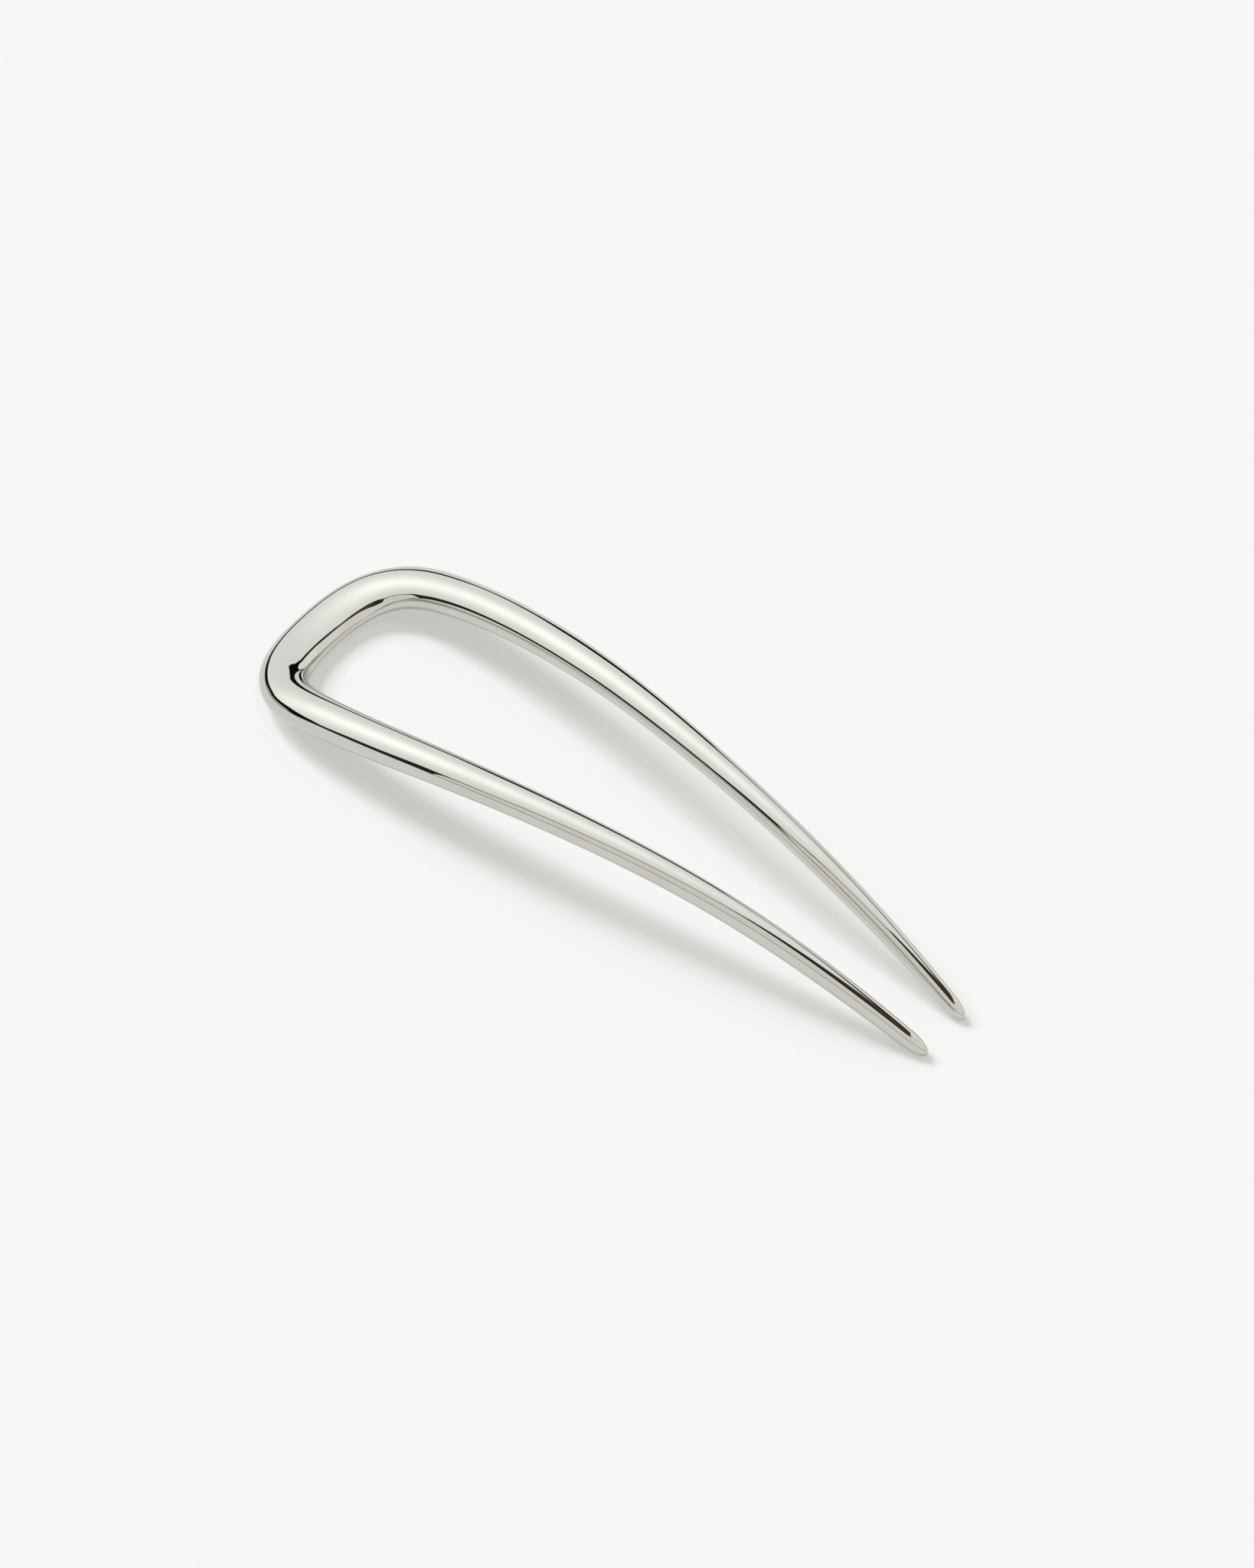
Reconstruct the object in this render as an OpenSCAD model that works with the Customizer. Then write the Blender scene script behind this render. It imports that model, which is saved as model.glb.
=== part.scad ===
// French hair pin of polished metal: one bar bent into a long U, arched from the side.
// The bow is broad and flat, and the two tines taper to rounded tips that draw together.
// X runs from the outer edge of the bow to the tips, Y runs across the pin, and Z points
// up from the surface that the pin lies on, resting on the bow and on both tips.

/* [Overall size] */
// Length from the outer edge of the bow to the ends of the tines
pin_length = 110; // [90:1:150]
// Width over the outer edges of the tines, just behind the bow
pin_width = 33; // [26:1:45]
// Height of the top of the arch above the surface
arch_height = 13.5; // [9:0.5:20]

/* [Bar] */
// Width of the bar at the bow, seen from above
band_width = 6.9; // [4:0.1:9]
// Depth of the bar at its thickest, seen from the side
bar_depth = 5.1; // [3:0.1:7]
// Length of the rounding at the end of each tine
tip_round = 2.8; // [1.5:0.1:5]

/* [Mesh] */
// Facets round the bar
sides = 32; // [16:4:36]
// Rings of facets between two rows of the section table
rings_per_row = 7; // [4:1:8]
// Rings of facets in the rounding of each tip
tip_rings = 7; // [3:1:9]

/* [Hidden] */

// Columns of the section table
along = 0;
across = 1;
up = 2;
broad = 3;
deep = 4;

// One row for each section of half the pin, from the middle of the bow to the end of a tine.
// Every figure is a percentage:
// [of the length, of half the width, of the arch's height, of the band's width, of the depth]
sections = [
    [2.8, 0, 11.5, 96, 64],
    [3.8, 52, 15.5, 100, 74],
    [8.2, 78.5, 27.5, 95, 97],
    [14.2, 82.5, 43, 84, 100],
    [21, 83.5, 57, 80, 98],
    [30, 80, 72, 75, 91],
    [41.5, 72.5, 84.5, 68, 81],
    [56, 59, 87, 58, 78],
    [71.5, 45, 78, 49, 80],
    [87, 33, 47, 40, 77],
    [100, 23, 5, 29, 56],
];

// What the whole of each column stands for, with half sizes for the bar's two radii
whole = [pin_length, pin_width / 2, arch_height, band_width / 2, bar_depth / 2];
quarter_turn = 90;
silver = "Silver";

// A row of the table in millimetres, on the left (side = 1) or the right (side = -1)
function control(i, side) = [
    for (column = [along : deep])
        sections[i][column] / 100 * whole[column] * (column == across ? side : 1)
];

// The control rows from the right tine's tip, round the bow, to the left tine's tip
last_row = len(sections) - 1;
controls = concat(
    [for (i = [last_row : -1 : 1]) control(i, -1)],
    [for (i = [0 : last_row]) control(i, 1)]
);
spans = len(controls) - 1;

// One row more beyond each end makes the curve begin and end on the tips themselves
net = concat(
    [2 * controls[0] - controls[1]],
    controls,
    [2 * controls[spans] - controls[spans - 1]]
);

// Weights of four neighbouring rows in a uniform cubic B-spline, and in its slope
function blend(t) = [
    pow(1 - t, 3),
    3 * pow(t, 3) - 6 * pow(t, 2) + 4,
    -3 * pow(t, 3) + 3 * pow(t, 2) + 3 * t + 1,
    pow(t, 3)
] / 6;
function blend_slope(t) = [
    -pow(1 - t, 2),
    3 * pow(t, 2) - 4 * t,
    -3 * pow(t, 2) + 2 * t + 1,
    pow(t, 2)
] / 2;

// The section and its slope at a place u, counted in rows from the right tine's tip
function span_of(u) = min(floor(u), spans - 1);
function four_rows(u) = [for (k = [0 : 3]) net[span_of(u) + k]];
function section_at(u) = blend(u - span_of(u)) * four_rows(u);
function slope_at(u) = blend_slope(u - span_of(u)) * four_rows(u);

// The two directions of a section: level across the bar, and square to that and the axis
function place(row) = [row[along], row[across], row[up]];
function unit(v) = v / norm(v);
function level_axis(u) = unit(cross(place(slope_at(u)), [0, 0, 1]));
function upright_axis(u) = cross(level_axis(u), unit(place(slope_at(u))));

// One ring of points round the bar, at a share of its full size
function ring(u, share) = [
    for (k = [0 : sides - 1])
        let (turn = 360 * k / sides, row = section_at(u))
            place(row)
            + level_axis(u) * row[broad] * share * cos(turn)
            + upright_axis(u) * row[deep] * share * sin(turn)
];

// The rounding of a tip follows a quarter ellipse, so its rings crowd towards the end
tip_reach = tip_round / norm(place(controls[1]) - place(controls[0]));
function tip_turn(k) = quarter_turn * k / tip_rings;
function tip_u(k) = tip_reach * (1 - cos(tip_turn(k)));
first_step = floor(tip_reach * rings_per_row) + 1;
last_step = spans * rings_per_row - first_step;

rings = concat(
    [for (k = [1 : tip_rings]) ring(tip_u(k), sin(tip_turn(k)))],
    [for (k = [first_step : last_step]) ring(k / rings_per_row, 1)],
    [for (k = [tip_rings : -1 : 1]) ring(spans - tip_u(k), sin(tip_turn(k)))]
);
ends = [place(section_at(0)), place(section_at(spans))];

// The corner numbers of the mesh: ring after ring, then the two tips
ring_count = len(rings);
right_tip = ring_count * sides;
left_tip = right_tip + 1;
function corner(r, k) = r * sides + k % sides;
points = concat([for (r = rings) for (p = r) p], ends);
skin = [
    for (r = [0 : ring_count - 2])
        for (k = [0 : sides - 1])
            for (half = [0, 1])
                half == 0
                    ? [corner(r, k), corner(r + 1, k + 1), corner(r + 1, k)]
                    : [corner(r, k), corner(r, k + 1), corner(r + 1, k + 1)]
];
right_cap = [for (k = [0 : sides - 1]) [right_tip, corner(0, k + 1), corner(0, k)]];
left_cap = [
    for (k = [0 : sides - 1])
        [left_tip, corner(ring_count - 1, k), corner(ring_count - 1, k + 1)]
];

// The pin rests on the surface: its lowest corner is at height 0, and its box is centred
floor_z = min([for (p = points) p[up]]);
bow_x = min([for (p = points) p[along]]);
tips_x = max([for (p = points) p[along]]);
to_origin = [-(bow_x + tips_x) / 2, 0, -floor_z];

// The bent bar from tip to tip
module hair_pin() {
    color(silver)
        translate(to_origin)
            polyhedron(points = points, faces = concat(skin, right_cap, left_cap), convexity = 6);
}

hair_pin();
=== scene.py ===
"""A polished french hair pin lying on a pale floor, under one round softbox.

The pin is one solid bar of mirror-polished metal, bent into a long U and arched from the
side. Its bow is broad and flat, and its two tines taper to rounded tips. Lengths are in
metres and angles in degrees. X runs from the bow to the tips, Y across, and Z up.
"""

import logging
import math
from dataclasses import dataclass, field
from enum import Enum
from typing import NamedTuple

import bpy
import numpy as np
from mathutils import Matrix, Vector


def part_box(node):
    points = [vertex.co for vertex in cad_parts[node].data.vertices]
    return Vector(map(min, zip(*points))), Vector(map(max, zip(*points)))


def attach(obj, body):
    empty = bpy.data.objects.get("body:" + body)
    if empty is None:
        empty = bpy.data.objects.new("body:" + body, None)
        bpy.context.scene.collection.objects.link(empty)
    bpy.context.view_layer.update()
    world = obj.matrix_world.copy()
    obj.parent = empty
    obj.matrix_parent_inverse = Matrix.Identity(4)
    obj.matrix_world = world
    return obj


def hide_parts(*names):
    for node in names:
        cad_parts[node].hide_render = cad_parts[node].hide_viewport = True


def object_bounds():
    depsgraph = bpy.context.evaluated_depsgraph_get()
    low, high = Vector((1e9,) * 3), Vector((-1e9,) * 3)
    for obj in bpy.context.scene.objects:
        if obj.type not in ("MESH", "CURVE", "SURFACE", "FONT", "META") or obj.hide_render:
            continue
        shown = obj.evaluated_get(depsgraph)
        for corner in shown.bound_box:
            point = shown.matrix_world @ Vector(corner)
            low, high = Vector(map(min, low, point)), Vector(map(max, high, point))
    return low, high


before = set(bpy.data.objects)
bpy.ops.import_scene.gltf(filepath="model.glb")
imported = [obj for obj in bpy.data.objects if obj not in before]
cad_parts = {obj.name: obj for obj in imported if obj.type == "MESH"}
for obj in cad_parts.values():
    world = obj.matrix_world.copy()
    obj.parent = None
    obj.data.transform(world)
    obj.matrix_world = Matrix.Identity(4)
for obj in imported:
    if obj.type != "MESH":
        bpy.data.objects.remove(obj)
CAD_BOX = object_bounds()

MM = 0.001
BODY = "root"
PIN_NODE = "hair_pin"
SKIN_MAP = "skin"
CAMERA_AZIMUTH = 39.6
FULL_TURN = 360
QUARTER_TURN = 90
MIDDLE_GREY = 0.5

Colour = tuple[float, float, float]

log = logging.getLogger("hair_pin")


class Value:
    """A number in a shader, with the operators that add Math nodes."""

    def __init__(self, graph: "Graph", socket: bpy.types.NodeSocket) -> None:
        """Keeps the graph and the output socket that carries the number."""
        self.graph = graph
        self.socket = socket

    def __add__(self, other: "Value | float") -> "Value":
        """self + other."""
        return self.graph.maths("ADD", self, other)

    def __radd__(self, other: float) -> "Value":
        """other + self."""
        return self.graph.maths("ADD", other, self)

    def __sub__(self, other: "Value | float") -> "Value":
        """self - other."""
        return self.graph.maths("SUBTRACT", self, other)

    def __rsub__(self, other: float) -> "Value":
        """other - self."""
        return self.graph.maths("SUBTRACT", other, self)

    def __mul__(self, other: "Value | float") -> "Value":
        """self * other."""
        return self.graph.maths("MULTIPLY", self, other)

    def __rmul__(self, other: float) -> "Value":
        """other * self."""
        return self.graph.maths("MULTIPLY", other, self)

    def __truediv__(self, other: "Value | float") -> "Value":
        """self / other."""
        return self.graph.maths("DIVIDE", self, other)

    def __rtruediv__(self, other: float) -> "Value":
        """other / self."""
        return self.graph.maths("DIVIDE", other, self)

    def __pow__(self, other: "Value | float") -> "Value":
        """self ** other."""
        return self.graph.maths("POWER", self, other)

    def __rpow__(self, other: float) -> "Value":
        """other ** self."""
        return self.graph.maths("POWER", other, self)


class Graph:
    """A node tree, with one way to add a node and a few for common sums."""

    def __init__(self, tree: bpy.types.NodeTree) -> None:
        """Empties the tree and keeps it."""
        tree.nodes.clear()
        self.tree = tree

    def node(
        self,
        kind: str,
        settings: dict[str, object] | None = None,
        inputs: dict[str | int, object] | None = None,
    ) -> bpy.types.Node:
        """Adds a node.

        Args:
            kind: The node's type name.
            settings: Its own properties, which are set first. `points` are a curve's.
            inputs: A value or a Value for each socket, by name or number.

        Returns:
            The new node.
        """
        made = self.tree.nodes.new(kind)
        for name, setting in (settings or {}).items():
            if name == "points":
                self.draw_curve(made, setting)
            else:
                setattr(made, name, setting)
        for key, given in (inputs or {}).items():
            if isinstance(given, Value):
                self.tree.links.new(given.socket, made.inputs[key])
            else:
                made.inputs[key].default_value = given
        return made

    def draw_curve(self, made: bpy.types.Node, points: list[tuple[float, float]]) -> None:
        """Gives a Float Curve node its points.

        Args:
            made: The node.
            points: The places that the curve runs through, from 0 to 1 both ways.
        """
        curve = made.mapping.curves[0]
        while len(curve.points) < len(points):
            curve.points.new(1, 1)
        for point, place in zip(curve.points, points):
            point.location = place
            point.handle_type = "AUTO_CLAMPED"
        made.mapping.update()

    def value(
        self,
        kind: str,
        settings: dict[str, object] | None = None,
        inputs: dict[str | int, object] | None = None,
        output: str | int = 0,
    ) -> Value:
        """Adds a node as `node` does, and returns its output of that name or number."""
        return Value(self, self.node(kind, settings, inputs).outputs[output])

    def maths(self, operation: str, *terms: Value | float) -> Value:
        """Adds a Math node on the terms, in order, and returns its result."""
        return self.value("ShaderNodeMath", {"operation": operation}, dict(enumerate(terms)))

    def dot(self, vector: Value, axis: Vector) -> Value:
        """Returns the dot product of a vector in the shader and a fixed one."""
        settings = {"operation": "DOT_PRODUCT"}
        return self.value("ShaderNodeVectorMath", settings, {0: vector, 1: axis}, "Value")

    def between(self, value: Value, low: float, high: float) -> Value:
        """Makes a smooth step.

        Args:
            value: What the step is taken on.
            low: Where the step leaves 0.
            high: Where it reaches 1, which may be below `low`.

        Returns:
            The step.
        """
        settings = {"interpolation_type": "SMOOTHSTEP"}
        inputs = {"Value": value, "From Min": low, "From Max": high}
        return self.value("ShaderNodeMapRange", settings, inputs)

    def stretch(self, place: Value, times: tuple[float, float, float]) -> Value:
        """Returns a place scaled by a number for each axis."""
        settings = {"operation": "MULTIPLY"}
        return self.value("ShaderNodeVectorMath", settings, {0: place, 1: times})

    def tint(self, colour: Colour, strength: Value) -> Value:
        """Returns a colour scaled by a number in the shader."""
        settings = {"operation": "SCALE"}
        return self.value("ShaderNodeVectorMath", settings, {0: colour, "Scale": strength})

    def mix(self, share: Value, first: object, second: object) -> Value:
        """Returns the first colour with a share of the second mixed into it."""
        # The node repeats its socket names for every kind of data, so the colours go by number
        inputs = {"Factor": share, 6: first, 7: second}
        return self.value("ShaderNodeMix", {"data_type": "RGBA"}, inputs, 2)


def rgba(colour: Colour) -> tuple[float, float, float, float]:
    """Returns an opaque colour."""
    return (*colour, 1.0)


def direction(azimuth: float, elevation: float) -> Vector:
    """Returns the way to the camera, its azimuth counted from -Y towards +X."""
    a, e = math.radians(azimuth), math.radians(elevation)
    return Vector((math.sin(a) * math.cos(e), -math.cos(a) * math.cos(e), math.sin(e)))


class Side(Enum):
    """The two halves of the pin, each with the sign of its Y."""

    LEFT = 1
    RIGHT = -1


class Section(NamedTuple):
    """A section of half the pin, in percent of the pin's driving sizes.

    The first three say where its middle lies, and the last two are its half sizes.
    """

    along: float
    across: float
    up: float
    broad: float
    deep: float


# What the columns of the control rows hold, as in Section
PLACE = slice(0, 3)
BROAD = 3
DEEP = 4

# From the middle of the bow to the end of a tine
SECTIONS = (
    Section(2.8, 0, 11.5, 96, 64),
    Section(3.8, 52, 15.5, 100, 74),
    Section(8.2, 78.5, 27.5, 95, 97),
    Section(14.2, 82.5, 43, 84, 100),
    Section(21, 83.5, 57, 80, 98),
    Section(30, 80, 72, 75, 91),
    Section(41.5, 72.5, 84.5, 68, 81),
    Section(56, 59, 87, 58, 78),
    Section(71.5, 45, 78, 49, 80),
    Section(87, 33, 47, 40, 77),
    Section(100, 23, 5, 29, 56),
)


@dataclass(frozen=True)
class MirrorPolish:
    """Bright, hard metal polished to a mirror, very slightly warm.

    A mirror still shows how it was made: hairlines from the last buff run along the bar, the
    surface rolls very slightly, and handling leaves a thin haze here and there. Each of the
    three is a noise with grains of the size given, and a detail that says how crumbled they are.
    """

    colour: Colour = (0.612, 0.609, 0.572)
    hazed_colour: Colour = (0.595, 0.588, 0.545)
    roughness: float = 0.012
    grain_roughness: float = 0.55
    haze: float = 0.035
    haze_size: float = 9 * MM
    haze_detail: float = 4.0
    haze_range: tuple[float, float] = (0.4, 0.75)
    hairline_width: float = 0.05 * MM
    hairline_length: float = 14 * MM
    hairline_depth: float = 0.00002 * MM
    hairline_detail: float = 2.0
    roll_size: float = 6 * MM
    roll_depth: float = 0.0015 * MM
    roll_detail: float = 0.0

    def noise(
        self, graph: Graph, place: Value, grain: tuple[float, float, float], detail: float
    ) -> Value:
        """Makes a soft noise.

        Args:
            graph: The material's node tree.
            place: Where on the metal it is taken.
            grain: The size of its grains along each axis of `place`.
            detail: How finely its grains crumble.

        Returns:
            The noise, from 0 to 1.
        """
        scaled = graph.stretch(place, tuple(1 / size for size in grain))
        shape = {"Scale": 1.0, "Detail": detail, "Roughness": self.grain_roughness}
        return graph.value("ShaderNodeTexNoise", inputs={"Vector": scaled, **shape})

    def material(self) -> bpy.types.Material:
        """Makes the finish.

        Returns:
            The finish as a material, for a mesh that has the skin's map.
        """
        made = bpy.data.materials.new("mirror_polish")
        made.use_nodes = True
        graph = Graph(made.node_tree)
        solid = graph.value("ShaderNodeTexCoord", output="Object")
        skin = graph.value("ShaderNodeUVMap", {"uv_map": SKIN_MAP})
        lengthwise = (self.hairline_length, self.hairline_width, 1)
        hairlines = self.noise(graph, skin, lengthwise, self.hairline_detail)
        patches = self.noise(graph, solid, (self.haze_size,) * 3, self.haze_detail)
        haze = graph.between(patches, *self.haze_range)
        rolls = self.noise(graph, solid, (self.roll_size,) * 3, self.roll_detail)
        # The height is in metres already, so the bump's distance is 1
        height = hairlines * self.hairline_depth + rolls * self.roll_depth
        bump = graph.value("ShaderNodeBump", inputs={"Distance": 1.0, "Height": height})
        shader = graph.value(
            "ShaderNodeBsdfPrincipled",
            inputs={
                "Base Color": graph.mix(haze, rgba(self.colour), rgba(self.hazed_colour)),
                "Metallic": 1.0,
                "Roughness": self.roughness + self.haze * haze * hairlines,
                "Normal": bump,
            },
        )
        graph.node("ShaderNodeOutputMaterial", inputs={"Surface": shader})
        return made


def blend(t: np.ndarray) -> np.ndarray:
    """Returns the weights of four neighbouring rows, at shares t of a B-spline's span."""
    middle = (3 * t**3 - 6 * t**2 + 4, -3 * t**3 + 3 * t**2 + 3 * t + 1)
    return np.hstack(((1 - t) ** 3, *middle, t**3)) / 6


def blend_slope(t: np.ndarray) -> np.ndarray:
    """Returns the four weights for the slope of the same curve."""
    middle = (3 * t**2 - 4 * t, -3 * t**2 + 2 * t + 1)
    return np.hstack((-((1 - t) ** 2), *middle, t**2)) / 2


@dataclass(frozen=True)
class HairPin:
    """The pin: one bar along a smooth curve from the right tip to the left tip.

    A tip rounds off over the length tip_round. Its outline is an ellipse where tip_ease is 2,
    and more than 2 lets the rounding begin more smoothly, so that no reflection breaks there.
    cap is the length of the last faces at each tip, on the skin's map.
    """

    length: float = 110 * MM
    width: float = 33 * MM
    arch: float = 13.5 * MM
    band: float = 6.9 * MM
    depth: float = 5.1 * MM
    tip_round: float = 4.2 * MM
    tip_ease: float = 3.0
    sides: int = 112
    rings_per_row: int = 34
    tip_rings: int = 30
    cap: float = 0.05 * MM
    finish: MirrorPolish = field(default_factory=MirrorPolish)

    def half(self, side: Side) -> np.ndarray:
        """Works out the control rows of half the pin.

        Args:
            side: Which half.

        Returns:
            The rows from the middle of the bow to the end of the tine, in metres.
        """
        half_width = side.value * self.width / 2
        whole = np.array((self.length, half_width, self.arch, self.band / 2, self.depth / 2))
        return np.array(SECTIONS) / 100 * whole

    def rows(self) -> np.ndarray:
        """Returns the control rows from the right tip to the left, and one beyond each."""
        rows = np.vstack((self.half(Side.RIGHT)[:0:-1], self.half(Side.LEFT)))
        # The rows beyond make the curve begin and end on the tips themselves
        return np.vstack((2 * rows[0] - rows[1], rows, 2 * rows[-1] - rows[-2]))

    def spots(self) -> tuple[np.ndarray, np.ndarray]:
        """Places the rings, which crowd together in the rounding of the tips.

        Returns:
            Each ring's place on the curve, counted in rows, and its share of the bar's full size.
        """
        rows = self.rows()
        spans = len(rows) - 3
        reach = self.tip_round / np.linalg.norm(rows[2, PLACE] - rows[1, PLACE])
        turn = np.radians(np.linspace(0, QUARTER_TURN, self.tip_rings + 1)[1:])
        tip = reach * (1 - np.cos(turn) ** (2 / self.tip_ease))
        count = round((spans - 2 * reach) * self.rings_per_row)
        bar = np.linspace(reach, spans - reach, count + 1)[1:-1]
        places = np.concatenate((tip, bar, spans - tip[::-1]))
        shares = np.concatenate((np.sin(turn), np.ones(len(bar)), np.sin(turn)[::-1]))
        return places, shares

    def rings(self) -> np.ndarray:
        """Sweeps the section along the curve, level across the bar.

        Returns:
            The corners of every ring, ring by ring, each from the bar's underside.
        """
        rows = self.rows()
        places, shares = self.spots()
        spans = len(rows) - 3
        span = np.minimum(places.astype(int), spans - 1)
        t = (places - span)[:, None]
        near = rows[span[:, None] + np.arange(4)]
        row = np.einsum("rk,rkc->rc", blend(t), near)
        run = np.einsum("rk,rkc->rc", blend_slope(t), near)[:, PLACE]
        run /= np.linalg.norm(run, axis=1)[:, None]
        level = np.cross(run, (0, 0, 1))
        level /= np.linalg.norm(level, axis=1)[:, None]
        upright = np.cross(level, run)
        turn = 2 * np.pi * np.arange(self.sides) / self.sides - np.pi / 2
        broad = (row[:, BROAD] * shares)[:, None] * np.cos(turn)
        deep = (row[:, DEEP] * shares)[:, None] * np.sin(turn)
        across = broad[..., None] * level[:, None]
        return row[:, None, PLACE] + across + deep[..., None] * upright[:, None]

    def faces(self, count: int) -> list[tuple[int, ...]]:
        """Joins the corners into faces.

        Args:
            count: How many rings there are.

        Returns:
            The corner numbers of each face: ring after ring, then the right tip, then the left.
        """
        sides = self.sides
        right_tip, left_tip = count * sides, count * sides + 1
        faces = []
        for ring in range(count - 1):
            here, beyond = ring * sides, (ring + 1) * sides
            faces += [
                (here + k, here + (k + 1) % sides, beyond + (k + 1) % sides, beyond + k)
                for k in range(sides)
            ]
        last = (count - 1) * sides
        faces += [(right_tip, (k + 1) % sides, k) for k in range(sides)]
        faces += [(left_tip, last + k, last + (k + 1) % sides) for k in range(sides)]
        return faces

    def map_skin(self, mesh: bpy.types.Mesh, rings: np.ndarray) -> None:
        """Unrolls the skin, in metres along the bar and round its widest section.

        Args:
            mesh: The bar's mesh, its faces in the order that `faces` gives them.
            rings: The corners of every ring.
        """
        sides = rings.shape[1]
        middles = rings.mean(axis=1)
        steps = np.linalg.norm(np.diff(middles, axis=0), axis=1)
        along = np.concatenate(([0.0], np.cumsum(steps)))
        girth = math.pi * (self.band + self.depth) / 2
        around = girth * np.arange(sides + 1) / sides
        places = []
        for here, beyond in zip(along, along[1:]):
            for low, high in zip(around, around[1:]):
                places += [(here, low), (here, high), (beyond, high), (beyond, low)]
        for low, high in zip(around, around[1:]):
            right_end = (along[0] - self.cap, (low + high) / 2)
            places += [right_end, (along[0], high), (along[0], low)]
        for low, high in zip(around, around[1:]):
            left_end = (along[-1] + self.cap, (low + high) / 2)
            places += [left_end, (along[-1], low), (along[-1], high)]
        layer = mesh.uv_layers.new(name=SKIN_MAP)
        layer.data.foreach_set("uv", np.array(places).ravel())

    def build(self) -> bpy.types.Object:
        """Makes the bar's mesh where the CAD solid lies, and dresses it.

        Returns:
            The bar.
        """
        rings = self.rings()
        tips = self.rows()[[1, -2], PLACE]
        points = np.vstack((rings.reshape(-1, 3), tips))
        low, high = (np.array(corner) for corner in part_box(PIN_NODE))
        middle = (low + high) / 2
        shift = middle - (points.min(0) + points.max(0)) / 2
        shift[2] = low[2] - points[:, 2].min()
        mesh = bpy.data.meshes.new("bar")
        mesh.from_pydata((points + shift).tolist(), [], self.faces(len(rings)))
        mesh.shade_smooth()
        self.map_skin(mesh, rings)
        pin = bpy.data.objects.new("bar", mesh)
        bpy.context.scene.collection.objects.link(pin)
        pin.data.materials.append(self.finish.material())
        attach(pin, BODY)
        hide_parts(PIN_NODE)
        return pin


@dataclass(frozen=True)
class LitAcrylic:
    """Pale matt acrylic, lit from below so that shadows on it stay light.

    Its colour and its backlight are very faintly clouded, and a fine tooth dulls it.
    """

    colour: Colour = (0.085, 0.085, 0.085)
    backlight: Colour = (0.514, 0.504, 0.482)
    cloud: float = 0.006
    cloud_size: float = 30 * MM
    tooth: float = 0.02 * MM
    tooth_size: float = 0.6 * MM

    def noise(self, graph: Graph, place: Value, size: float) -> Value:
        """Returns a soft noise with grains of a size."""
        inputs = {"Vector": place, "Scale": 1 / size}
        return graph.value("ShaderNodeTexNoise", inputs=inputs)

    def material(self) -> bpy.types.Material:
        """Makes the finish.

        Returns:
            The finish as a material.
        """
        made = bpy.data.materials.new("lit_acrylic")
        made.use_nodes = True
        graph = Graph(made.node_tree)
        place = graph.value("ShaderNodeTexCoord", output="Object")
        clouds = self.noise(graph, place, self.cloud_size)
        tooth = self.noise(graph, place, self.tooth_size)
        bump = graph.value("ShaderNodeBump", inputs={"Distance": self.tooth, "Height": tooth})
        strength = 1 + self.cloud * (clouds - MIDDLE_GREY)
        shader = graph.value(
            "ShaderNodeBsdfPrincipled",
            inputs={
                "Base Color": graph.tint(self.colour, strength),
                "Roughness": 1.0,
                "Specular IOR Level": 0.0,
                "Emission Color": graph.tint(self.backlight, strength),
                "Emission Strength": 1.0,
                "Normal": bump,
            },
        )
        graph.node("ShaderNodeOutputMaterial", inputs={"Surface": shader})
        return made


@dataclass(frozen=True)
class Floor:
    """A flat sheet whose edges lie far outside the view."""

    reach: float = 12.0
    finish: LitAcrylic = field(default_factory=LitAcrylic)

    def build(self) -> bpy.types.Object:
        """Lays the sheet at the height that the pin rests on.

        Returns:
            The floor, which isn't part of the pin.
        """
        height = CAD_BOX[0].z
        r = self.reach
        corners = [(-r, -r, height), (r, -r, height), (r, r, height), (-r, r, height)]
        mesh = bpy.data.meshes.new("floor")
        mesh.from_pydata(corners, [], [(0, 1, 2, 3)])
        floor = bpy.data.objects.new("floor", mesh)
        bpy.context.scene.collection.objects.link(floor)
        mesh.materials.append(self.finish.material())
        return floor


@dataclass(frozen=True)
class PhotoCamera:
    """The camera, far off and looking down from one side of the pin's bow.

    The frame is taller than it is wide, so the sensor's size spans its height.
    """

    azimuth: float = CAMERA_AZIMUTH
    elevation: float = 50.25
    distance: float = 1.5
    target: tuple[float, float, float] = (-4.11 * MM, 6.86 * MM, 0.0)
    focal_px: float = 14913.0
    frame_height_px: float = 2048.0
    sensor: float = 36.0
    nearest: float = 0.05
    farthest: float = 100.0

    def build(self) -> bpy.types.Object:
        """Makes the camera and gives it to the scene.

        Returns:
            The camera.
        """
        data = bpy.data.cameras.new("camera")
        data.sensor_width = self.sensor
        data.lens = self.focal_px / self.frame_height_px * self.sensor
        data.clip_start, data.clip_end = self.nearest, self.farthest
        camera = bpy.data.objects.new("camera", data)
        bpy.context.scene.collection.objects.link(camera)
        back = direction(self.azimuth, self.elevation)
        camera.location = Vector(self.target) + self.distance * back
        camera.rotation_euler = (-back).to_track_quat("-Z", "Y").to_euler()
        bpy.context.scene.camera = camera
        return camera


class Bearing(NamedTuple):
    """What the pin sees on one bearing from the middle of the softbox.

    turn is the bearing, reach is how far out the softbox ends, and gap is the width of the dark
    gap beyond it. The three are degrees in the flat map of the sky that Studio describes. wall is
    how bright the walls are beyond the gap, and murk how bright the gap itself is.
    """

    turn: float
    reach: float
    gap: float
    wall: float
    murk: float


# The most that each column can hold
BEARING_TOPS = Bearing(turn=FULL_TURN, reach=100, gap=100, wall=2, murk=0.2)

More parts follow.
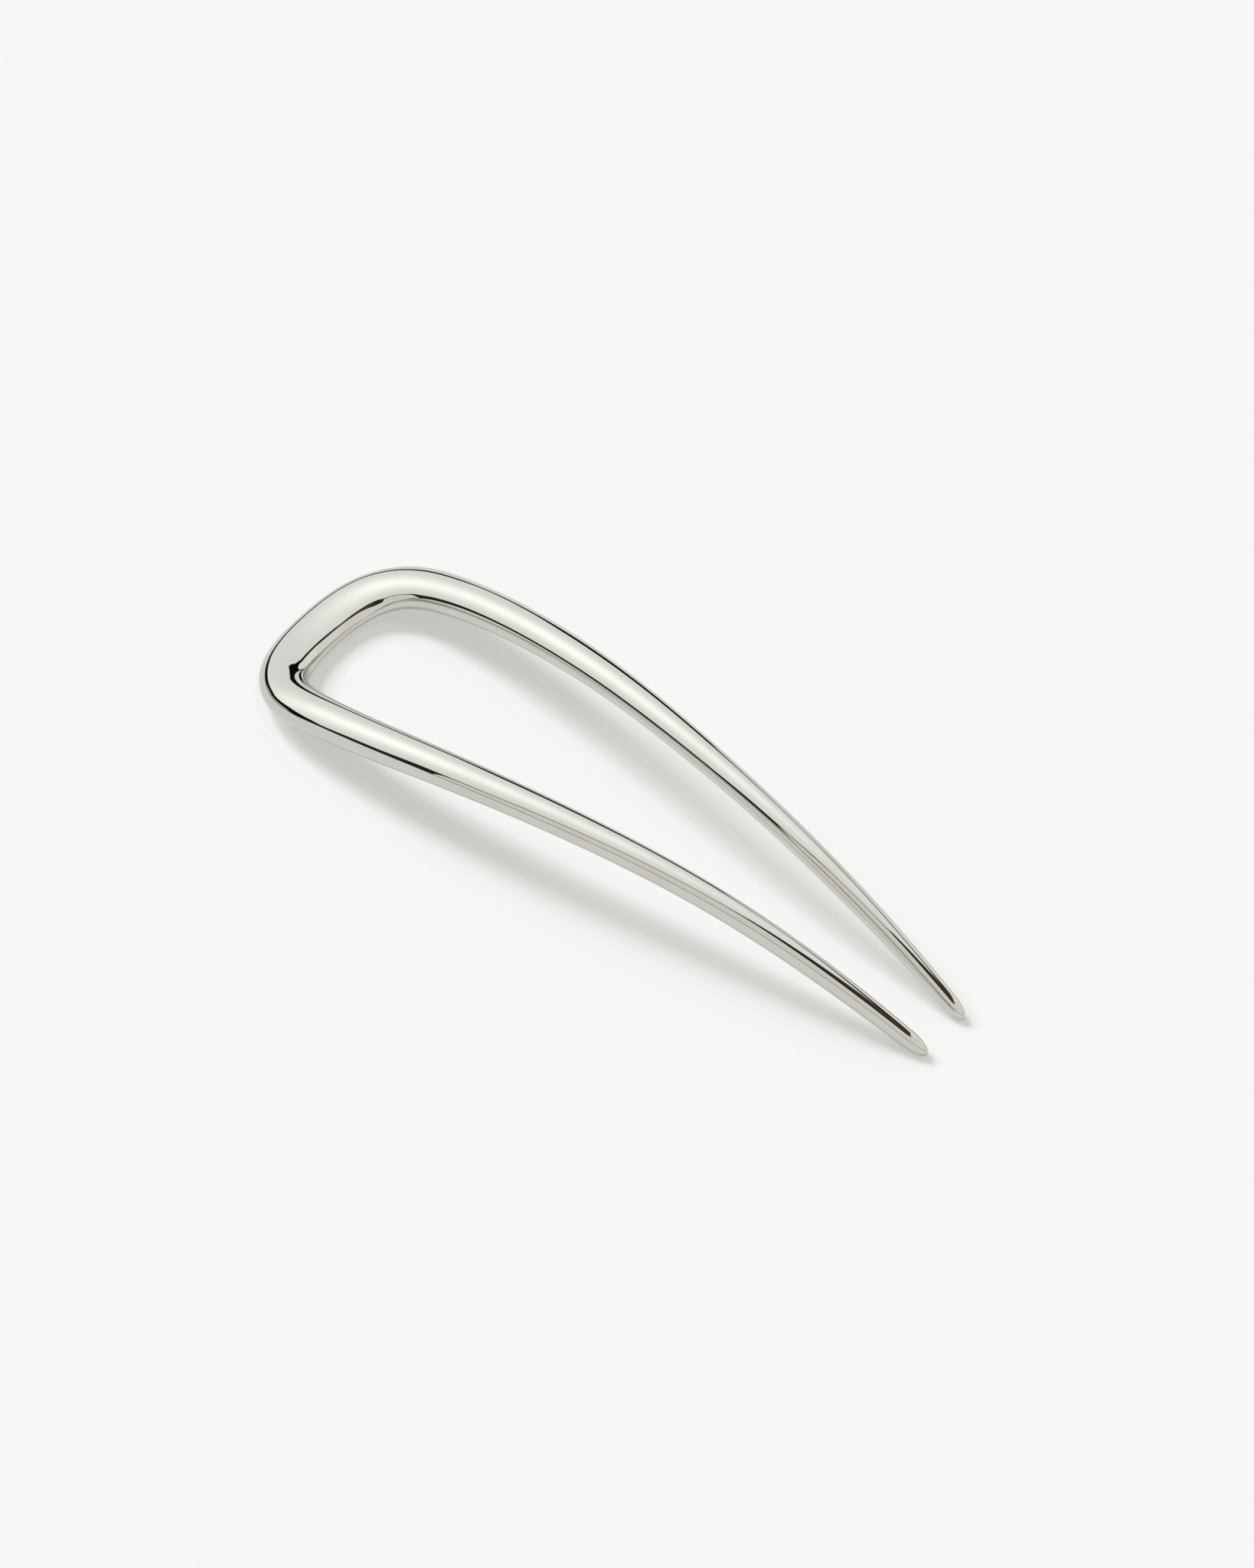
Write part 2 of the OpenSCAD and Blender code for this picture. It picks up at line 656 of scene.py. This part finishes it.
# Clockwise from the side away from the camera
BEARINGS = (
    Bearing(0, 52, 14, 1.2, 0.006),
    Bearing(10, 54, 16, 1.2, 0.006),
    Bearing(18, 57, 24, 1.2, 0.006),
    Bearing(24, 60, 30, 1.2, 0.006),
    Bearing(29, 59, 30, 1.2, 0.006),
    Bearing(34, 55, 30, 1.2, 0.006),
    Bearing(40, 56, 30, 1.2, 0.006),
    Bearing(46, 59, 14, 1.15, 0.006),
    Bearing(52, 60, 8, 1.15, 0.006),
    Bearing(60, 60, 6, 1.1, 0.006),
    Bearing(75, 57, 6, 1.1, 0.01),
    Bearing(90, 54, 6, 1.1, 0.02),
    Bearing(100, 53, 7, 1.0, 0.03),
    Bearing(108, 53, 7, 1.0, 0.04),
    Bearing(116, 54, 6, 1.0, 0.045),
    Bearing(123, 52.5, 8, 0.95, 0.05),
    Bearing(136, 51.5, 11, 0.95, 0.065),
    Bearing(150, 51, 18, 0.95, 0.07),
    Bearing(163, 52, 24, 0.95, 0.04),
    Bearing(172, 54, 22, 0.95, 0.025),
    Bearing(178, 57, 12, 0.95, 0.025),
    Bearing(183, 59, 4, 0.9, 0.025),
    Bearing(200, 61, 3, 0.9, 0.025),
    Bearing(214, 67, 4, 0.9, 0.025),
    Bearing(218, 67, 15, 0.9, 0.025),
    Bearing(222, 69, 30, 0.9, 0.03),
    Bearing(225, 70.5, 28, 0.9, 0.03),
    Bearing(228, 70, 29, 0.9, 0.03),
    Bearing(231, 69.5, 30, 1.0, 0.03),
    Bearing(235, 70.5, 27, 1.0, 0.025),
    Bearing(240, 65.5, 24, 1.0, 0.008),
    Bearing(250, 56, 12, 1.2, 0.006),
    Bearing(260, 51, 11, 1.3, 0.006),
    Bearing(280, 48, 8, 1.4, 0.006),
    Bearing(300, 45, 7, 1.3, 0.006),
    Bearing(320, 46, 7, 1.2, 0.006),
    Bearing(340, 48, 7, 1.2, 0.006),
    Bearing(350, 50, 8, 1.2, 0.006),
)


class Lamp(NamedTuple):
    """A far lamp that shapes the shadow.

    slope_x and slope_y say how far towards it lies along X and Y for each step up, width is the
    angle that it fills in the sky, and power is its strength.
    """

    name: str
    slope_x: float
    slope_y: float
    width: float
    power: float


LAMPS = (
    Lamp("key", -0.74, 0.07, 16, 8.75),
    Lamp("low", -1.25, -0.15, 14, 5.15),
    Lamp("side", -1.2, 0.3, 14, 2.55),
    Lamp("top", 0.2, 0.08, 14, 1.2),
)


@dataclass(frozen=True)
class Studio:
    """The light: a big softbox overhead, a dark gap round it, and pale walls.

    The sky over the pin is drawn as a flat map. A point's distance from the map's middle is
    its angle from straight up, x points to the camera's right, and y away from the camera.
    The softbox glows brightest round a middle of its own. Where the walls meet the floor, a
    dark skirting runs all round.
    """

    facing: float = CAMERA_AZIMUTH
    middle: tuple[float, float] = (-22.0, 28.0)
    edge: float = 1.0
    softbox: float = 1.045
    softbox_tint: Colour = (1.0, 1.0, 1.0)
    wall_tint: Colour = (1.0, 0.98, 0.95)
    murk_tint: Colour = (1.0, 0.86, 0.68)
    glow: float = 0.585
    glow_middle: tuple[float, float] = (-34.5, 25.0)
    glow_turn: float = -7.0
    glow_spread: tuple[float, float] = (37.0, 26.5)
    skirting: Colour = (0.01, 0.009, 0.008)
    skirting_share: float = 0.8
    skirting_top: float = 86.5
    skirting_edge: float = 0.5
    lamp_colour: Colour = (0.97, 0.975, 1.0)
    nearly_zero: float = 1e-9

    def map_place(self, graph: Graph) -> tuple[Value, Value, Value]:
        """Places a direction in the flat map.

        Args:
            graph: The world's node tree.

        Returns:
            The place's x and y, and its angle from straight up.
        """
        seen = graph.value("ShaderNodeTexCoord", output="Generated")
        turn = math.radians(self.facing)
        right = graph.dot(seen, Vector((math.cos(turn), math.sin(turn), 0)))
        away = graph.dot(seen, Vector((-math.sin(turn), math.cos(turn), 0)))
        rise = graph.dot(seen, Vector((0, 0, 1)))
        from_top = graph.maths("ARCCOSINE", rise) * math.degrees(1)
        # Nearly zero and not zero straight up, because it divides
        level = (right**2 + away**2 + self.nearly_zero) ** 0.5
        return right / level * from_top, away / level * from_top, from_top

    def glow_at(self, graph: Graph, x: Value, y: Value) -> Value:
        """Works out the softbox's glow, a soft oval.

        Args:
            graph: The world's node tree.
            x: The place's x in the map.
            y: The place's y in the map.

        Returns:
            The share of the glow at the place, which is 1 in the oval's middle.
        """
        turn = math.radians(self.glow_turn)
        c, s = math.cos(turn), math.sin(turn)
        dx, dy = x - self.glow_middle[0], y - self.glow_middle[1]
        along = (dx * c + dy * s) * (1 / self.glow_spread[0])
        across = (dy * c - dx * s) * (1 / self.glow_spread[1])
        return graph.maths("EXPONENT", (along**2 + across**2) * -1)

    def column(self, graph: Graph, name: str, bearing: Value) -> Value:
        """Reads one column of the table of bearings.

        Args:
            graph: The world's node tree.
            name: The column's name.
            bearing: The bearing, as a share of a full turn.

        Returns:
            The column's value there, on a smooth curve through the table.
        """
        top = getattr(BEARING_TOPS, name)
        round_trip = (*BEARINGS, BEARINGS[0]._replace(turn=FULL_TURN))
        points = [(row.turn / FULL_TURN, getattr(row, name) / top) for row in round_trip]
        return graph.value("ShaderNodeFloatCurve", {"points": points}, {"Value": bearing}) * top

    def paint(self, graph: Graph) -> Value:
        """Paints the studio, from the walls inwards to the softbox.

        Args:
            graph: The world's node tree.

        Returns:
            The colour of the studio in each direction.
        """
        x, y, from_top = self.map_place(graph)
        dx, dy = x - self.middle[0], y - self.middle[1]
        distance = (dx**2 + dy**2) ** 0.5
        bearing = graph.maths("FRACT", graph.maths("ARCTAN2", dx, dy) * (1 / math.tau) + 1)
        reach = self.column(graph, "reach", bearing)
        gap_end = reach + self.column(graph, "gap", bearing)
        walls = graph.tint(self.wall_tint, self.column(graph, "wall", bearing))
        murk = graph.tint(self.murk_tint, self.column(graph, "murk", bearing))
        lit = self.softbox + self.glow * self.glow_at(graph, x, y)
        soft = graph.tint(self.softbox_tint, lit)
        in_gap = graph.between(distance - gap_end, self.edge, -self.edge)
        in_box = graph.between(distance - reach, self.edge, -self.edge)
        paint = graph.mix(in_box, graph.mix(in_gap, walls, murk), soft)
        low = self.skirting_top - self.skirting_edge
        high = self.skirting_top + self.skirting_edge
        line = graph.between(from_top, low, high) * self.skirting_share
        return graph.mix(line, paint, rgba(self.skirting))

    def build(self) -> list[bpy.types.Object]:
        """Lights the scene.

        Returns:
            The lamps. The metal mirrors the studio round it and not the lamps.
        """
        scene = bpy.context.scene
        world = bpy.data.worlds.new("studio")
        world.use_nodes = True
        scene.world = world
        graph = Graph(world.node_tree)
        shader = graph.value("ShaderNodeBackground", inputs={"Color": self.paint(graph)})
        graph.node("ShaderNodeOutputWorld", inputs={"Surface": shader})
        scene.view_settings.view_transform = "Standard"
        lamps = []
        for lamp in LAMPS:
            light = bpy.data.lights.new(lamp.name, "SUN")
            light.energy = lamp.power
            light.color = self.lamp_colour
            light.angle = math.radians(lamp.width)
            placed = bpy.data.objects.new(lamp.name, light)
            rays = Vector((lamp.slope_x, lamp.slope_y, 1))
            placed.rotation_euler = rays.to_track_quat("Z", "Y").to_euler()
            placed.visible_glossy = False
            scene.collection.objects.link(placed)
            lamps.append(placed)
        return lamps


def main() -> None:
    """Builds the pin and the studio, and reports each piece."""
    logging.basicConfig(level=logging.INFO, format="%(name)s: %(message)s")
    PhotoCamera().build()
    Studio().build()
    for piece in (Floor().build(), HairPin().build()):
        log.info("%s: %d faces", piece.name, len(piece.data.polygons))


if __name__ == "__main__":
    main()
